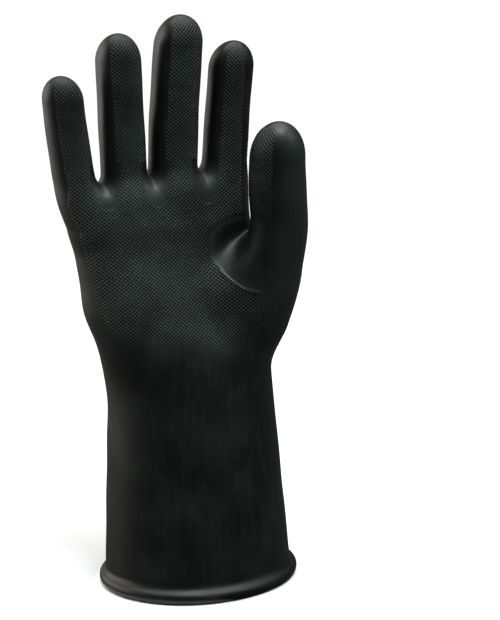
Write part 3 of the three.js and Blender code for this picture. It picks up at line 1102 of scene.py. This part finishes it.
def add_camera(middle):
    """The camera, turned about its own axis by the roll."""
    camera = bpy.data.cameras.new("camera")
    camera.lens = LENS
    camera.shift_x, camera.shift_y = SHIFT
    bpy.context.scene.camera = placed("camera", camera, middle, towards(*VIEW), VIEW_DISTANCE, VIEW_ROLL)


def add_softbox(name, middle, azimuth, elevation, distance, size, power, colour):
    """A rectangular light that faces the glove."""
    light = bpy.data.lights.new(name, "AREA")
    light.shape, light.size, light.size_y = "RECTANGLE", size[0], size[1]
    light.energy, light.color = power, colour
    placed(name, light, middle, towards(azimuth, elevation), distance).visible_camera = False


def staged(name, points, faces, colour, roughness, reflection):
    """An object of the studio with one plain material."""
    mesh = bpy.data.meshes.new(name)
    mesh.from_pydata(points, [], faces)
    material = Nodes(name).shaded(Base_Color=colour, Roughness=roughness, Specular_IOR_Level=reflection)
    mesh.materials.append(material)
    thing = linked(name, mesh)
    return thing


def add_floor():
    """A plain floor and its even light from above."""
    corners = [(x * FLOOR_REACH, y * FLOOR_REACH, 0) for x, y in ((-1, -1), (1, -1), (1, 1), (-1, 1))]
    colour = (*bpy.context.scene.glove_colours.floor, 1)
    staged("floor", corners, [(0, 1, 2, 3)], colour, FLOOR_ROUGHNESS, FLOOR_REFLECTION)
    sun = bpy.data.lights.new("overhead", "SUN")
    sun.energy, sun.angle = OVERHEAD_POWER, OVERHEAD_SPREAD
    linked("overhead", sun)


def add_black_cloth():
    """A black cloth round the glove, which shows only in its reflections and keeps the rubber dark.

    It is a flat ring: two circles of the same number of points, joined by quads.
    """
    turns = np.linspace(0, 2 * np.pi, CLOTH_STEPS, endpoint=False)
    ring = np.stack([np.cos(turns), np.sin(turns), 0 * turns], axis=1)
    points = np.concatenate([ring * CLOTH_HOLE, ring * FLOOR_REACH]) + [0, 0, CLOTH_LIFT]
    here = np.arange(CLOTH_STEPS)
    after = (here + 1) % CLOTH_STEPS
    faces = np.stack([here, here + CLOTH_STEPS, after + CLOTH_STEPS, after], axis=1)
    cloth = staged("black_cloth", points.tolist(), faces.tolist(), CLOTH_COLOUR, 1.0, 0.0)
    cloth.visible_camera = cloth.visible_shadow = False


def add_world():
    """Surroundings that are white behind the glove and dim in its reflections."""
    world = bpy.data.worlds.new("studio")
    world.use_nodes = True
    tree = world.node_tree
    background = tree.nodes["Background"]
    path = tree.nodes.new("ShaderNodeLightPath")
    strength = tree.nodes.new("ShaderNodeMapRange")
    strength.inputs["To Min"].default_value = DIM_WORLD
    strength.inputs["To Max"].default_value = BRIGHT_WORLD
    tree.links.new(path.outputs["Is Camera Ray"], strength.inputs["Value"])
    tree.links.new(strength.outputs[0], background.inputs["Strength"])
    background.inputs["Color"].default_value = (1, 1, 1, 1)
    bpy.context.scene.world = world


# --- Commands ---


class GloveCommand:
    """What every command of this file shares."""

    bl_options = {"REGISTER", "UNDO"}


class GLOVE_OT_stage(GloveCommand, bpy.types.Operator):
    """Add the camera, the floor and the lights"""

    bl_idname = "glove.stage"
    bl_label = "Studio"

    def execute(self, context):
        middle = Vector(((CUFF_MIDDLE[0] + VIEW_ASIDE) * MM, CUFF_MIDDLE[1] * MM, VIEW_HEIGHT))
        add_camera(middle)
        add_floor()
        add_black_cloth()
        add_world()
        for name, settings in SOFTBOXES.items():
            add_softbox(name, middle, *settings)
        context.scene.view_settings.view_transform = "Standard"
        return {"FINISHED"}


class GLOVE_OT_cuff_roll(GloveCommand, bpy.types.Operator):
    """Add the roll that stiffens the cuff's edge"""

    bl_idname = "glove.cuff_roll"
    bl_label = "Cuff roll"

    def execute(self, context):
        piece = swept("cuff_roll", roll_profile(context.scene.glove_sizes.wall / MM))
        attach(finished(piece, "bead_rubber", ["cuff_bead"]), "cuff")
        return {"FINISHED"}


class GLOVE_OT_sleeve(GloveCommand, bpy.types.Operator):
    """Add the sleeve between the cuff's roll and the wrist"""

    bl_idname = "glove.sleeve"
    bl_label = "Sleeve"

    def execute(self, context):
        piece = swept("sleeve", sleeve_profile(context.scene.glove_sizes.wall / MM))
        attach(finished(piece, "sleeve_rubber", ["gauntlet_sleeve"]), "cuff")
        return {"FINISHED"}


class GLOVE_OT_hand(GloveCommand, bpy.types.Operator):
    """Add the wrist, the palm and the back of the hand"""

    bl_idname = "glove.hand"
    bl_label = "Wrist, palm and back"

    def execute(self, context):
        for name in ("wrist", "palm_heel", "palm", "hand_back"):
            make_film(name)
        return {"FINISHED"}


class GLOVE_OT_thumb(GloveCommand, bpy.types.Operator):
    """Add the thumb"""

    bl_idname = "glove.thumb"
    bl_label = "Thumb"

    def execute(self, context):
        make_film("thumb_root")
        make_film("thumb_end")
        return {"FINISHED"}


class GLOVE_OT_fingers(GloveCommand, bpy.types.Operator):
    """Add the four fingers, each in three lengths that meet between its bends"""

    bl_idname = "glove.fingers"
    bl_label = "Fingers"

    def execute(self, context):
        for finger in FINGERS:
            for stage in ("root", "middle", "end"):
                make_film(f"{finger}_{stage}")
        return {"FINISHED"}


COMMANDS = (
    GLOVE_OT_stage,
    GLOVE_OT_cuff_roll,
    GLOVE_OT_sleeve,
    GLOVE_OT_hand,
    GLOVE_OT_thumb,
    GLOVE_OT_fingers,
)


class GLOVE_PT_panel(bpy.types.Panel):
    """The glove's sizes, colours and commands"""

    bl_idname = "GLOVE_PT_panel"
    bl_label = "Dipped Rubber Glove"
    bl_space_type = "VIEW_3D"
    bl_region_type = "UI"
    bl_category = "Glove"

    def draw(self, context):
        """Lays out the settings and a button for each command."""
        column = self.layout.column()
        for settings in (context.scene.glove_sizes, context.scene.glove_colours):
            for key in settings.__annotations__:
                column.prop(settings, key)
        for command in COMMANDS:
            column.operator(command.bl_idname)


def register():
    """Registers the settings, the commands and the panel."""
    for cls in (GloveSizes, GloveColours, *COMMANDS, GLOVE_PT_panel):
        bpy.utils.register_class(cls)
    bpy.types.Scene.glove_sizes = bpy.props.PointerProperty(type=GloveSizes)
    bpy.types.Scene.glove_colours = bpy.props.PointerProperty(type=GloveColours)


def unregister():
    """Takes back what register() did."""
    del bpy.types.Scene.glove_colours
    del bpy.types.Scene.glove_sizes
    for cls in (GLOVE_PT_panel, *reversed(COMMANDS), GloveColours, GloveSizes):
        bpy.utils.unregister_class(cls)


def main():
    """Runs every command in order."""
    register()
    for command in COMMANDS:
        group, name = command.bl_idname.split(".")
        getattr(getattr(bpy.ops, group), name)()


if __name__ == "__main__":
    main()
